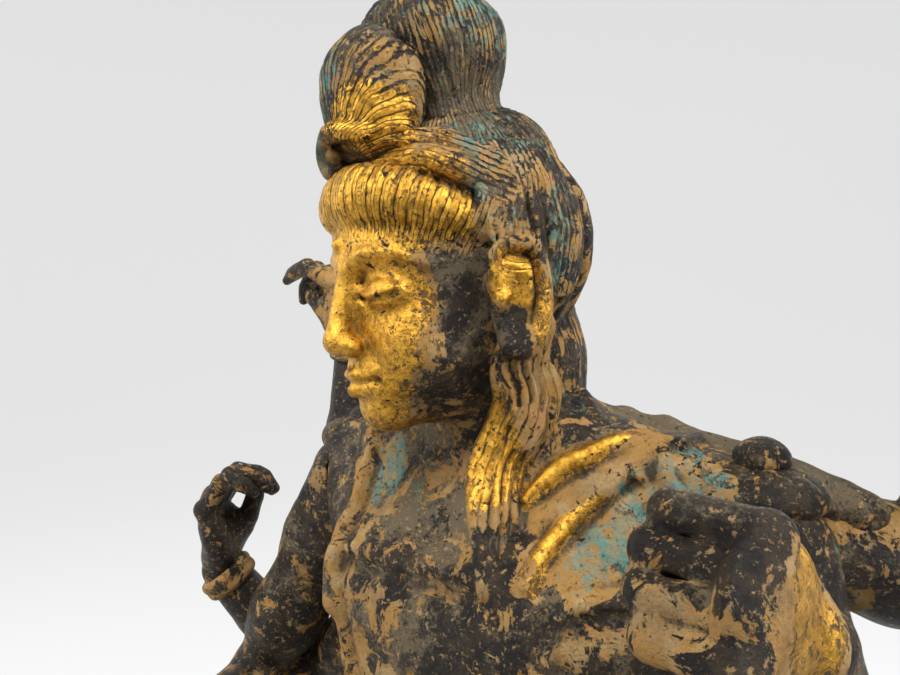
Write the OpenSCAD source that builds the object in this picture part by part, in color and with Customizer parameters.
// Seated six-armed figure in hollow-cast brass, gilded and painted, on a lotus throne.
// Millimetres. Origin: centre of the throne's foot, on the surface it stands on.
// +Z is up and the figure faces -Y. Its own left hand side is +X.

/* [Figure] */
// Height of the head from chin to crown of the hair: the unit of the whole figure
head_h = 62; // [58:1:66]
// Turn of the head towards the figure's own right, in degrees
head_turn = 20; // [0:1:30]
// Bow of the head, in degrees
head_bow = 6; // [0:1:10]
// Wall of the hollow castings
wall = 3; // [2.5:0.25:3.5]

/* [Throne] */
// Radius of the foot
foot_r = 108; // [106:1:114]
// Height of the plinth
plinth_h = 20; // [20:1:24]
// Height of the ring of hanging petals
lower_lotus_h = 18; // [16:1:22]
// Height of the drum between the two rings of petals
drum_h = 10; // [8:1:14]
// Height of the bowl of standing petals
upper_lotus_h = 24; // [22:1:28]
// Thickness of the seat disc
seat_t = 4; // [3:0.5:6]
// Petals in each row
petals = 14; // [12:1:16]

/* [Joints] */
// Radius of the tenons on the arms
tenon_r = 3.2; // [2.8:0.1:3.4]
// Radius of the pins that lock the tenons
pin_r = 1.5; // [1.2:0.1:1.6]
// Radius of the tie rod through the throne
rod_r = 3; // [2.5:0.5:4]
// Radial clearance of every pin, tenon and spigot
fit = 0.05; // [0.03:0.01:0.08]

/* [Hidden] */

$fn = 48;
side = [-1, 1]; // the figure's right, then its left

// Levels of the throne
lower_lotus_z = plinth_h;
drum_z = lower_lotus_z + lower_lotus_h;
upper_lotus_z = drum_z + drum_h;
seat_z = upper_lotus_z + upper_lotus_h + seat_t;
plate_z = 6;
plate_t = 3;
ledge_in = 22;      // how far the plinth's ledge reaches in from the foot
screw_in = 17;      // how far in the plate's screws stand
drum_r = foot_r - 30;
core_turn = 2.3;    // turns the lotus cores, so that no flat of theirs lines up with a petal

// A place on the figure, in head heights: left of centre, behind centre, above the seat
function at(x, y, z) = [x * head_h, y * head_h, seat_z + z * head_h];
function hh(v) = v * head_h;

// Joints of the three pairs of arms, for the figure's left hand side
front_shoulder = [0.86, 0.13, 2.3];
front_elbow_left = [1.06, 0.02, 1.3];
front_wrist_left = [1.07, -0.46, 2.3];
front_elbow_right = [1.36, 0.02, 1.34];
front_wrist_right = [1.08, -0.72, 1.12];
middle_shoulder = [0.62, 0.25, 2.08];
middle_elbow = [1.2, 0.3, 1.16];
middle_wrist = [1.46, -0.04, 1.84];
upper_shoulder = [0.8, 0.24, 2.37];
upper_elbow = [1.28, 0.46, 2.2];
upper_wrist = [1.26, 0.42, 2.83];
neck = [0, 0.1, 2.62];   // foot of the neck, where the head's spigot goes in
waist_z = 0.62;          // where the torso stands on the legs
floor_t = 0.1;           // floor of the torso casting above the waist, in head heights

// Spigots and pegs that join the castings
waist_spigot_r = 18;
waist_spigot_l = 8;
neck_spigot_r = 9;
neck_bore_r = 6.5;       // the neck's spigot is hollow
throat_r = 7.4;          // opens the head casting above it
topknot_peg_r = 5;
chignon_peg_r = 2.5;
wrist_r = hh(0.07);
wrist_peg_r = wrist_r / 2;
wrist_peg_l = 5;
rivet_dome_r = 4.6;

// Rows of [height, half width, half depth, backward shift], in head heights
torso_rows = [[waist_z, 0.46, 0.35, 0.03], [0.95, 0.45, 0.33, 0.01], [1.3, 0.5, 0.36, 0],
    [1.7, 0.57, 0.4, 0], [1.98, 0.66, 0.42, 0], [2.2, 0.84, 0.38, 0.06],
    [2.38, 0.98, 0.32, 0.12], [2.5, 0.94, 0.27, 0.15], [2.58, 0.78, 0.24, 0.15],
    [2.64, 0.45, 0.24, 0.14], [2.7, 0.25, 0.24, 0.12]];
head_rows = [[2.62, 0.09, 0.09, -0.37], [2.68, 0.18, 0.2, -0.28], [2.8, 0.27, 0.33, -0.16],
    [3.0, 0.34, 0.42, -0.06], [3.2, 0.37, 0.455, -0.04], [3.4, 0.36, 0.43, -0.03],
    [3.54, 0.28, 0.32, -0.02], [3.62, 0.13, 0.15, -0.02]];
lap_rows = [[0, 0.62, 0.5, -0.05], [0.2, 0.62, 0.52, -0.06], [0.45, 0.54, 0.42, -0.02],
    [waist_z, 0.47, 0.36, 0.03]];

// ---- Solids from rings of points ----

function unit(v) = v / norm(v);
function mix(a, b, t) = a + (b - a) * t;

// Triangles between ring j and ring j + 1, of n points each, facing out
function band_faces(n, j) = [for (i = [0:n - 1]) let (k = (i + 1) % n, a = j * n, b = (j + 1) * n)
    each [[a + i, b + i, b + k], [a + i, b + k, a + k]]];

// A closed solid through rings of points that run anticlockwise seen from the last ring
module skin(rings) {
    n = len(rings[0]);
    m = len(rings);
    polyhedron(points = [for (r = rings) each r],
        faces = concat([[for (i = [0:n - 1]) i]],
            [for (j = [0:m - 2]) each band_faces(n, j)],
            [[for (i = [n - 1:-1:0]) (m - 1) * n + i]]),
        convexity = 6);
}

// A stack of ellipses from rows, each grown by grow all round
module stack(rows, grow = 0, sides = 28) {
    skin([for (r = rows) [for (i = [0:sides - 1]) let (t = 360 * i / sides)
        at(0, r[3], r[0]) + [(hh(r[1]) + grow) * cos(t), (hh(r[2]) + grow) * sin(t), 0]]]);
}

// A tube along path, with a radius at each point and flattened by flat towards ref
module tube(path, radii, ref, sides = 12, flat = 1) {
    m = len(path);
    skin([for (j = [0:m - 1])
        let (t = unit(path[min(j + 1, m - 1)] - path[max(j - 1, 0)]),
            u = unit(cross(ref, t)), w = cross(t, u))
        [for (i = [0:sides - 1]) let (a = 360 * i / sides)
            path[j] + radii[j] * (cos(a) * u + flat * sin(a) * w)]]);
}

// Points from a to c, rounding the corner at b
function bent(a, b, c, steps = 5) = concat([a, mix(a, b, 0.35), mix(a, b, 0.65)],
    [for (i = [0:steps]) let (t = i / steps, p = mix(a, b, 0.85), q = mix(b, c, 0.15))
        mix(mix(p, b, t), mix(b, q, t), t)],
    [mix(b, c, 0.4), mix(b, c, 0.7), c]);

// Turns z onto dir, at p
module along(p, dir) {
    translate(p) rotate([0, acos(dir[2] / norm(dir)), atan2(dir[1], dir[0])]) children();
}

// Puts a hand at p: its fingers point along z and the back of the hand faces y
module pose(p, z, y) {
    e3 = unit(z);
    e1 = unit(cross(y, e3));
    e2 = cross(e3, e1);
    multmatrix([[e1[0], e2[0], e3[0], p[0]], [e1[1], e2[1], e3[1], p[1]],
        [e1[2], e2[2], e3[2], p[2]], [0, 0, 0, 1]]) children();
}

// One mesh out of everything inside, at its own size
module cast() {
    resize([0, 0, 0]) union() children();
}

// A place mirrored to the figure's right for s = -1
function sided(p, s) = at(s * p[0], p[1], p[2]);

// ---- Throne ----

module ring_profile(points) {
    rotate_extrude($fn = 96) polygon(points);
}

module screw_places() {
    for (a = [45:90:315]) rotate(a) translate([foot_r - screw_in, 0, 0]) children();
}

module plinth() {
    color("#4a3b26") difference() {
        ring_profile([[foot_r - 10, 0], [foot_r, 0], [foot_r, 4], [foot_r - 4, 8],
            [foot_r - 8, 9], [foot_r - 8, plinth_h - 6], [foot_r - 5, plinth_h - 4],
            [foot_r - 5, plinth_h], [foot_r - ledge_in, plinth_h],
            [foot_r - ledge_in, plate_z + plate_t], [foot_r - 10, plate_z + plate_t]]);
        screw_places() cylinder(r = pin_r + fit, h = plinth_h - 4);
    }
}

module base_plate() {
    color("#6b5836") difference() {
        translate([0, 0, plate_z]) cylinder(r = foot_r - 10.2, h = plate_t, $fn = 96);
        translate([0, rod_y, 0]) cylinder(r = rod_r + 0.2, h = plinth_h);
        screw_places() cylinder(r = pin_r + 0.2, h = plinth_h);
    }
}

module base_plate_screws() {
    color("#b08d3c") screw_places() {
        translate([0, 0, plate_z - 1]) cylinder(r = pin_r, h = plinth_h - 6 - plate_z);
        difference() {
            translate([0, 0, plate_z - 2]) cylinder(r = pin_r * 2, h = 2);
            translate([-pin_r * 2, -0.4, plate_z - 2.5]) cube([pin_r * 4, 0.8, 1.3]);
        }
    }
}

// A petal round the throne's axis: width w degrees, from radius and height r0, z0 to r1, z1
module petal(w, r0, z0, r1, z1, bulge, root) {
    rows = 5;
    cols = 4;
    // spread of the petal across, and its radius, at share v of its height
    function wide(v) = w / 2 * sqrt(1 - pow(v, 2.4)) * (0.8 + 0.3 * sin(180 * v)) + 0.6;
    function reach(v) = mix(r0, r1, pow(v, 1.6)) + bulge * sin(150 * v);
    function spot(u, v, r) = [r * cos(u * wide(v)), r * sin(u * wide(v)), mix(z0, z1, v)];
    skin([for (j = [0:rows]) let (v = j / rows)
        concat([for (i = [0:cols]) let (u = -1 + 2 * i / cols)
                spot(u, v, reach(v) - 2.2 * u * u)],
            [for (i = [cols:-1:0]) spot(-1 + 2 * i / cols, v, reach(v) - root)])]);
}

module petal_row(offset_turns, w, r0, z0, r1, z1, bulge, root) {
    for (i = [0:petals - 1]) rotate(360 * (i + offset_turns) / petals)
        petal(w, r0, z0, r1, z1, bulge, root);
}

module lower_lotus() {
    top_r = foot_r - 26;
    foot = foot_r - 14;
    color("#5a4a2c") cast() {
        rotate(core_turn) rotate_extrude($fn = 60) polygon([[foot - 10, lower_lotus_z], [foot, lower_lotus_z],
            [foot - 4, lower_lotus_z + 8], [top_r, drum_z], [top_r - 16, drum_z],
            [top_r - 16, drum_z - 4]]);
        mirror([0, 0, 1]) translate([0, 0, -drum_z - lower_lotus_z])
            petal_row(0, 340 / petals, top_r, lower_lotus_z + 1, foot + 4, drum_z - 1, 2.5, 9);
    }
}

module drum() {
    color("#4a3b26") ring_profile([[drum_r - 6, drum_z], [drum_r, drum_z],
        [drum_r - 3, drum_z + 3], [drum_r - 3, upper_lotus_z - 3], [drum_r, upper_lotus_z],
        [drum_r - 6, upper_lotus_z]]);
}

module bead_ring() {
    beads = 36;
    neck_r = drum_r - 3;
    color("#b08d3c") translate([0, 0, drum_z + drum_h / 2]) union() {
        rotate_extrude($fn = 96) translate([neck_r, -1.4]) square([1.6, 2.8]);
        for (i = [0:beads - 1]) rotate(360 * i / beads) translate([neck_r + 2, 0, 0])
            sphere(r = 2.4, $fn = 24);
    }
}

module upper_lotus() {
    low = drum_r + 1;
    high = foot_r - 14;
    top = upper_lotus_z + upper_lotus_h;
    color("#5a4a2c") cast() {
        rotate(core_turn) rotate_extrude($fn = 60) polygon([[low - 12, upper_lotus_z], [low, upper_lotus_z],
            [low + 8, upper_lotus_z + 8], [high - 4, top], [high - 14, top],
            [low - 12, upper_lotus_z + 5]]);
        petal_row(0.5, 300 / petals, low + 2, upper_lotus_z + 6, high + 2, top + 2, 1, 8);
        petal_row(0, 345 / petals, low + 1, upper_lotus_z + 1, high + 5, top - 4, 4, 9);
    }
}

module seat_disc() {
    color("#8a6d33") difference() {
        translate([0, 0, seat_z - seat_t]) cylinder(r = foot_r - 20, h = seat_t, $fn = 96);
        translate([0, rod_y, 0]) cylinder(r = rod_r + 0.2, h = seat_z + 1);
    }
}

// ---- Tie rod ----

rod_foot = 1.2;
rod_y = hh(0.03);        // the rod stands under the middle of the waist
rod_top = seat_z + hh(waist_z) + 7;

module tie_rod() {
    color("#9a9a92") translate([0, rod_y, rod_foot]) cylinder(r = rod_r, h = rod_top - rod_foot);
}

module tie_washer() {
    color("#9a9a92") difference() {
        translate([0, rod_y, plate_z - 1]) cylinder(r = rod_r * 2.2, h = 1);
        translate([0, rod_y, 0]) cylinder(r = rod_r + 0.2, h = plinth_h);
    }
}

module tie_nut() {
    color("#b08d3c") difference() {
        translate([0, rod_y, plate_z - 4.6]) cylinder(r = rod_r * 1.85, h = 3.6, $fn = 6);
        translate([0, rod_y, 0]) cylinder(r = rod_r + fit, h = plinth_h);
    }
}

// ---- Legs, sash and torso ----

// The crossed legs under their skirt, thinner by inset all round
module legs_body(inset = 0) {
    difference() {
        union() {
            stack(lap_rows, -inset, 24);
            for (s = side) {
                tube([at(s * 0.3, 0.05, 0.3), at(s * 0.75, -0.12, 0.27),
                    at(s * 1.15, -0.4, 0.22), at(s * 1.36, -0.58, 0.19)],
                    [hh(0.33) - inset, hh(0.33) - inset, hh(0.27) - inset, hh(0.15) - inset],
                    [0, 0, 1]);
                tube([at(s * 1.34, -0.5, 0.18), at(s * 1.15, -0.72, 0.2),
                    at(s * 0.6, -0.98, 0.16 + 0.05 * s), at(s * -0.15, -1.06, 0.14 + 0.06 * s),
                    at(s * -0.5, -0.9, 0.2 + 0.06 * s)],
                    [hh(0.16) - inset, hh(0.2) - inset, hh(0.17) - inset,
                        hh(0.13) - inset, hh(0.1) - inset], [0, 0, 1]);
            }
        }
        translate([-foot_r, -foot_r, seat_z - foot_r]) cube([2 * foot_r, 2 * foot_r, foot_r]);
    }
}

module legs() {
    waist = seat_z + hh(waist_z);
    color("#5a4a2c") difference() {
        cast() difference() {
            legs_body();
            translate([0, 0, -1]) legs_body(wall);
            translate([0, 0, waist - 10]) stack([[0, 0.34, 0.28, 0.03], [0.01, 0.34, 0.28, 0.03]]);
        }
        translate([0, rod_y, waist - waist_spigot_l - 4])
            cylinder(r = waist_spigot_r + fit, h = waist_spigot_l + 12);
    }
}

// Outside of the torso, grown by grow all round
module torso_body(grow = 0) {
    stack(torso_rows, grow);
}

// The inside of the torso casting, up to the foot of the neck, with the core's vent below
module torso_hollow() {
    rows = [for (r = torso_rows) if (r[0] < 2.56) r];
    stack([for (r = rows) [max(r[0], waist_z + floor_t), r[1], r[2], r[3]]], -wall);
    stack([for (z = [waist_z - 0.2, waist_z + floor_t + 0.05]) [z, 0, 0, 0.03]], rod_r * 0.9, 12);
}

module arm_sockets() {
    for (s = side) {
        for (p = [front_shoulder, middle_shoulder, upper_shoulder])
            along(sided([p[0] - 0.3, p[1], p[2]], s), [s, 0, 0])
                cylinder(r = tenon_r + fit, h = hh(0.55));
    }
}

module torso() {
    waist = seat_z + hh(waist_z);
    color("#3f382c") difference() {
        union() {
            cast() difference() {
                torso_body();
                torso_hollow();
            }
            translate([0, rod_y, waist - waist_spigot_l])
                cylinder(r = waist_spigot_r, h = waist_spigot_l + 4);
        }
        arm_sockets();
        rivet_holes();
        arm_pin_holes();
        translate(at(0, neck[1], 2.5)) cylinder(r = neck_spigot_r + fit, h = hh(0.3));
        neck_pin_hole(pin_r + fit);
        translate([0, rod_y, waist - 9]) cylinder(r = rod_r + fit, h = 17);
    }
}

module waist_sash() {
    color("#8a6d33") cast() difference() {
        stack([[waist_z - 0.1, 0.51, 0.4, 0.02], [waist_z, 0.53, 0.42, 0.02],
            [waist_z + 0.12, 0.5, 0.39, 0.02]]);
        torso_body(0.1);
        legs_body(-0.1);
    }
}

module sash_knot() {
    color("#8a6d33") cast() difference() {
        union() {
            for (s = side) tube([at(0, -0.44, 0.63), at(s * 0.09, -0.47, 0.66),
                at(s * 0.18, -0.46, 0.62), at(s * 0.21, -0.45, 0.57)],
                [hh(0.05), hh(0.075), hh(0.07), hh(0.03)], [0, 1, 0], 10);
            tube([at(0, -0.42, 0.63), at(0.03, -0.56, 0.5), at(0.02, -0.74, 0.4),
                at(0, -0.86, 0.36)], [hh(0.09), hh(0.12), hh(0.13), hh(0.1)], [0, 0, 1], 10, 0.5);
        }
        stack([[waist_z - 0.11, 0.51, 0.4, 0.02], [waist_z, 0.532, 0.422, 0.02],
            [waist_z + 0.13, 0.502, 0.392, 0.02]]);
        legs_body(-0.1);
        torso_body(0.1);
    }
}

// ---- Head and hair ----

// Turns and bows the head about the foot of the neck
module head_pose() {
    foot = at(neck[0], neck[1], neck[2]);
    translate(foot) rotate([0, 0, -head_turn]) rotate([head_bow, 0, 0]) translate(-foot)
        children();
}

module face_body(grow = 0) {
    stack(head_rows, grow, 24);
}

// One ear, a flattened disc with a long lobe, on side s
module ear(s) {
    tube([at(s * 0.34, -0.02, 3.2), at(s * 0.37, 0, 3.12), at(s * 0.37, 0, 3.0),
        at(s * 0.34, -0.02, 2.9), at(s * 0.31, -0.03, 2.84)],
        [hh(0.04), hh(0.1), hh(0.1), hh(0.08), hh(0.05)], [1, 0, 0], 10, 0.5);
}

// Hair gathered down the nape, from the back of the head to the shawl
module back_hair() {
    tube([at(0, 0.1, 3.15), at(0, 0.2, 2.95), at(0, 0.22, 2.78), at(0, 0.22, 2.6)],
        [hh(0.24), hh(0.23), hh(0.2), hh(0.2)], [1, 0, 0], 16);
}

module nose() {
    tube([at(0, -0.43, 3.2), at(0, -0.49, 3.06), at(0, -0.53, 2.95), at(0, -0.45, 2.9)],
        [hh(0.04), hh(0.05), hh(0.07), hh(0.04)], [1, 0, 0], 8);
}

// Lowered eyelids, lips and brows, on both sides of the face
module features() {
    for (s = side) {
        tube([at(s * 0.06, -0.45, 3.08), at(s * 0.14, -0.45, 3.09), at(s * 0.22, -0.39, 3.08)],
            [hh(0.02), hh(0.045), hh(0.02)], [0, 1, 0], 8);
        tube([at(s * 0.03, -0.47, 3.18), at(s * 0.13, -0.46, 3.22), at(s * 0.25, -0.37, 3.18)],
            [hh(0.015), hh(0.03), hh(0.015)], [0, 1, 0], 8);
    }
    tube([at(-0.1, -0.4, 2.815), at(0, -0.44, 2.81), at(0.1, -0.4, 2.815)],
        [hh(0.015), hh(0.04), hh(0.015)], [0, 1, 0], 8);
}

module head() {
    spigot_z = neck[2] - 0.1;
    color("#b08d3c") difference() {
        union() {
            difference() {
                head_pose() cast() difference() {
                    union() {
                        face_body();
                        nose();
                        features();
                        for (s = side) ear(s);
                        tube([at(0, 0.1, 2.6), at(0, 0, 2.9)], [hh(0.22), hh(0.25)], [0, 1, 0], 20);
                        back_hair();
                    }
                    face_body(-wall);
                    for (s = side) hair_lock_body(s, 0.1);
                    tube([at(0, 0.07, 2.6), at(0, 0, 2.95)], [throat_r, throat_r], [0, 1, 0], 18);
                }
                torso_body(0.1);
            }
            translate(at(0, neck[1], spigot_z)) cylinder(r = neck_spigot_r, h = hh(0.3));
        }
        translate(at(0, neck[1], spigot_z - 0.1)) cylinder(r = neck_bore_r, h = hh(0.5));
        neck_pin_hole(pin_r + fit);
        head_pose() {
            translate(at(0, -0.1, 3.5)) cylinder(r = topknot_peg_r + fit, h = 20);
            along(at(0, -0.28, 3.48), [0, -1, 0.8]) translate([0, 0, -4])
                cylinder(r = chignon_peg_r + fit, h = 20);
        }
    }
}

module neck_pin_hole(r) {
    translate(at(0, neck[1], neck[2] - 0.03)) rotate([-90, 0, 0]) cylinder(r = r, h = hh(0.4));
}

module neck_pin() {
    color("#b08d3c") difference() {
        translate(at(0, neck[1], neck[2] - 0.03)) rotate([-90, 0, 0])
            translate([0, 0, 6]) cylinder(r = pin_r, h = hh(0.2));
        torso_clear();
    }
}

// Everything outside the torso's skin, for trimming a pin flush with it
module torso_clear() {
    difference() {
        translate(at(-2, -2, 2)) cube([hh(4), hh(4), hh(1)]);
        torso_body(0);
    }
}

module topknot() {
    color("#3f382c") head_pose() {
        cast() difference() {
            stack([[3.46, 0.19, 0.2, -0.04], [3.62, 0.18, 0.18, -0.05], [3.72, 0.22, 0.22, -0.06],
                [3.84, 0.25, 0.25, -0.08], [3.95, 0.23, 0.23, -0.1], [4.03, 0.15, 0.15, -0.11],
                [4.06, 0.08, 0.09, -0.11]], 0, 24);
            face_body(0.1);
            chignon_body(0.13);
        }
        translate(at(0, -0.1, 3.5)) translate([0, 0, 1.5]) cylinder(r = topknot_peg_r, h = 6);
    }
}

module chignon_body(grow = 0) {
    stack([[3.42, 0.18, 0.1, -0.36], [3.5, 0.23, 0.16, -0.34], [3.64, 0.24, 0.19, -0.31],
        [3.78, 0.22, 0.18, -0.29], [3.88, 0.15, 0.13, -0.27], [3.92, 0.08, 0.08, -0.26]], grow, 20);
}

module front_chignon() {
    color("#8a6d33") head_pose() {
        cast() difference() {
            chignon_body();
            face_body(0.1);
        }
        along(at(0, -0.28, 3.48), [0, -1, 0.8]) translate([0, 0, -3])
            cylinder(r = chignon_peg_r, h = 9);
    }
}

// A point of the head, in head heights, after its turn about the foot of the neck
function turned(p) = let (c = cos(head_turn), d = sin(head_turn), y = p[1] - neck[1])
    [p[0] * c + y * d, neck[1] - p[0] * d + y * c, p[2]];

// A lock of hair from behind the ear: the left one falls over the chest, the right one down the back
module hair_lock_body(s, grow = 0) {
    head_points = [for (p = [[0.33, 0.08, 3.0], [0.35, 0.0, 2.86]]) turned([s * p[0], p[1], p[2]])];
    body_points = s > 0
        ? [[0.3, -0.02, 2.7], [0.23, -0.1, 2.55], [0.2, -0.17, 2.43], [0.22, -0.25, 2.3],
            [0.28, -0.33, 2.18]]
        : [[-0.42, 0.12, 2.72], [-0.48, 0.27, 2.62], [-0.5, 0.39, 2.48], [-0.48, 0.44, 2.32],
            [-0.44, 0.45, 2.16]];
    tube([for (p = concat(head_points, body_points)) at(p[0], p[1], p[2])],
        [for (r = [0.05, 0.09, 0.1, 0.1, 0.09, 0.07, 0.04]) hh(r) + grow], [1, 0, 0], 10, 0.7);
}

module hair_lock(s) {
    color("#b08d3c") cast() difference() {
        hair_lock_body(s);
        torso_body(0.1);
        head_pose() face_body(0.1);
    }
}

// ---- Arms ----

upper_arm_r = [0.17, 0.15, 0.14, 0.13, 0.125, 0.125, 0.125, 0.125, 0.12, 0.115, 0.1, 0.085];
rear_arm_r = [for (r = upper_arm_r) r * 0.93];

module arm(shoulder, elbow, wrist, s, radii, ref) {
    a = sided(shoulder, s);
    e = sided(elbow, s);
    w = sided(wrist, s);
    difference() {
        union() {
            cast() difference() {
                tube(bent(a, e, w), [for (r = radii) hh(r)], ref, 13);
                torso_body(0.12);
            }
            along(a, [-s, 0, 0]) translate([0, 0, -4]) cylinder(r = tenon_r, h = hh(0.2) + 4);
        }
        along(w, e - w) translate([0, 0, -1]) cylinder(r = wrist_peg_r + fit, h = wrist_peg_l + 2);
        rivet_holes();
        arm_pin_holes();
    }
}

module front_arm(s) {
    color("#3f382c") arm(front_shoulder, s > 0 ? front_elbow_left : front_elbow_right,
        s > 0 ? front_wrist_left : front_wrist_right, s, upper_arm_r, [1, 0.2, 0]);
}

module middle_arm(s) {
    color("#3f382c") arm(middle_shoulder, middle_elbow, middle_wrist, s, rear_arm_r, [0, 1, 0.3]);
}

module upper_arm(s) {
    color("#3f382c") arm(upper_shoulder, upper_elbow, upper_wrist, s, rear_arm_r, [0, 1, 0]);
}

// ---- Hands ----

// Joints of a finger from base, bending curls[i] degrees at each joint towards the palm
function finger(base, lengths, curls, lean) = let (
    c = [curls[0], curls[0] + curls[1], curls[0] + curls[1] + curls[2]],
    step = [for (i = [0:2]) lengths[i] * [sin(lean) * cos(c[i]), -sin(c[i]), cos(lean) * cos(c[i])]])
    [base, base + step[0], base + step[0] + step[1], base + step[0] + step[1] + step[2]];

finger_x = [0.115, 0.04, -0.035, -0.105];   // knuckles from index to little finger
finger_l = [0.95, 1.05, 1, 0.82];
palm_l = 0.34;

// A right hand in head heights: curls of the four fingers, and the thumb's own joints
module hand(curls, leans, thumb) {
    cast() union() {
        skin([for (r = [[0, 0.07, 0.055, 0], [0.08, 0.09, 0.065, 0], [0.2, 0.145, 0.07, 0],
            [0.31, 0.155, 0.06, 0], [palm_l + 0.02, 0.145, 0.045, 0]])
            [for (i = [0:15]) [hh(r[1]) * cos(22.5 * i), hh(r[2]) * sin(22.5 * i), hh(r[0])]]]);
        for (i = [0:3]) tube([for (p = finger([finger_x[i], 0, palm_l - 0.03],
            finger_l[i] * [0.17, 0.11, 0.09], curls[i], leans[i])) hh(1) * p],
            [hh(0.043), hh(0.04), hh(0.036), hh(0.022)], [1, 0, 0.01], 8);
        tube([for (p = thumb) hh(1) * p], [hh(0.05), hh(0.05), hh(0.042), hh(0.025)],
            [0, 1, 0.01], 8);
    }
    translate([0, 0, -wrist_peg_l]) cylinder(r = wrist_peg_r, h = 2 * wrist_peg_l);
}

fist = [[80, 95, 60], [84, 95, 60], [86, 95, 60], [88, 95, 60]];
ring_sign = [[45, 65, 45], [43, 62, 42], [41, 60, 40], [40, 58, 38]];
open_palm = [[12, 14, 10], [6, 10, 8], [10, 14, 10], [20, 20, 14]];
beak = [[40, 35, 15], [60, 60, 30], [65, 60, 30], [70, 60, 30]];
fist_thumb = [[0.08, -0.03, 0.12], [0.14, -0.11, 0.2], [0.09, -0.17, 0.29], [0, -0.18, 0.32]];
ring_thumb = [[0.08, -0.03, 0.1], [0.07, -0.14, 0.19], [0.05, -0.2, 0.29], [0.04, -0.23, 0.37]];
beak_thumb = [[0.08, -0.03, 0.1], [0.12, -0.1, 0.2], [0.12, -0.18, 0.27], [0.11, -0.24, 0.31]];
open_thumb = [[0.08, -0.02, 0.1], [0.18, -0.05, 0.19], [0.23, -0.08, 0.27], [0.25, -0.09, 0.34]];

module placed_hand(wrist, s, z, y, curls, thumb, leans = [6, 2, -2, -6]) {
    color("#5a4a2c") pose(sided(wrist, s), [s * z[0], z[1], z[2]], [s * y[0], y[1], y[2]])
        mirror([s < 0 ? 0 : 1, 0, 0]) hand(curls, leans, thumb);
}

module front_hand(s) {
    if (s > 0)
        placed_hand(front_wrist_left, s, [-0.05, -0.85, 0.5], [1, -0.1, 0],
            fist, fist_thumb, [0, 0, 0, 0]);
    else
        placed_hand(front_wrist_right, s, [-0.15, -0.97, -0.1], [0, 0.15, -1],
            open_palm, open_thumb);
}

module middle_hand(s) {
    placed_hand(middle_wrist, s, [0.12, -0.1, 1], [0.76, -0.65, 0],
        ring_sign, ring_thumb, [2, 1, -1, -2]);
}

module upper_hand(s) {
    placed_hand(upper_wrist, s, [0.1, -0.1, 1], [-1, 0.05, 0], beak, beak_thumb);
}

module bracelet(elbow, wrist, s) {
    e = sided(elbow, s);
    w = sided(wrist, s);
    along(w, e - w) translate([0, 0, 1.5]) rotate_extrude() translate([hh(0.085) + 1.2, 0])
        circle(r = 1.1, $fn = 24);
}

module bracelets() {
    color("#b08d3c") {
        bracelet(front_elbow_left, front_wrist_left, 1);
        bracelet(front_elbow_right, front_wrist_right, -1);
        for (s = side) {
            bracelet(middle_elbow, middle_wrist, s);
            bracelet(upper_elbow, upper_wrist, s);
        }
    }
}

// ---- Rivets and pins that lock the arms ----

module rivet_holes(r = pin_r + fit) {
    for (s = side) translate(sided([front_shoulder[0] - 0.02, front_shoulder[1], 2.2], s))
        cylinder(r = r, h = hh(0.45));
}

module shoulder_rivets() {
    color("#b08d3c") for (s = side) {
        top = sided([front_shoulder[0] - 0.02, front_shoulder[1], 2.55], s);
        translate([top[0], top[1], seat_z + hh(2.22)]) cylinder(r = pin_r, h = hh(0.34));
        translate(top) intersection() {
            translate([0, 0, -0.6]) sphere(r = rivet_dome_r);
            translate([-6, -6, 0]) cube([12, 12, 6]);
        }
    }
}

module arm_pin_holes(r = pin_r * 0.8 + fit) {
    for (s = side, p = [middle_shoulder, upper_shoulder])
        translate(sided([p[0] - 0.1, p[1], p[2]], s)) rotate([-90, 0, 0])
            translate([0, 0, -tenon_r]) cylinder(r = r, h = hh(0.35));
}

module arm_pins() {
    color("#b08d3c") difference() {
        for (s = side, p = [middle_shoulder, upper_shoulder])
            translate(sided([p[0] - 0.1, p[1], p[2]], s)) rotate([-90, 0, 0])
                translate([0, 0, -tenon_r]) cylinder(r = pin_r * 0.8, h = hh(0.3));
        torso_clear();
    }
}

plinth();
base_plate();
base_plate_screws();
lower_lotus();
drum();
bead_ring();
upper_lotus();
seat_disc();
tie_rod();
tie_washer();
tie_nut();
legs();
waist_sash();
sash_knot();
torso();
head();
neck_pin();
front_chignon();
topknot();
hair_lock(1);  // left_hair_lock
hair_lock(-1);  // right_hair_lock
front_arm(1);  // left_front_arm
front_arm(-1);  // right_front_arm
middle_arm(1);  // left_middle_arm
middle_arm(-1);  // right_middle_arm
upper_arm(1);  // left_upper_arm
upper_arm(-1);  // right_upper_arm
front_hand(1);  // left_front_hand
front_hand(-1);  // right_front_hand
middle_hand(1);  // left_middle_hand
middle_hand(-1);  // right_middle_hand
upper_hand(1);  // left_upper_hand
upper_hand(-1);  // right_upper_hand
bracelets();
shoulder_rivets();
arm_pins();
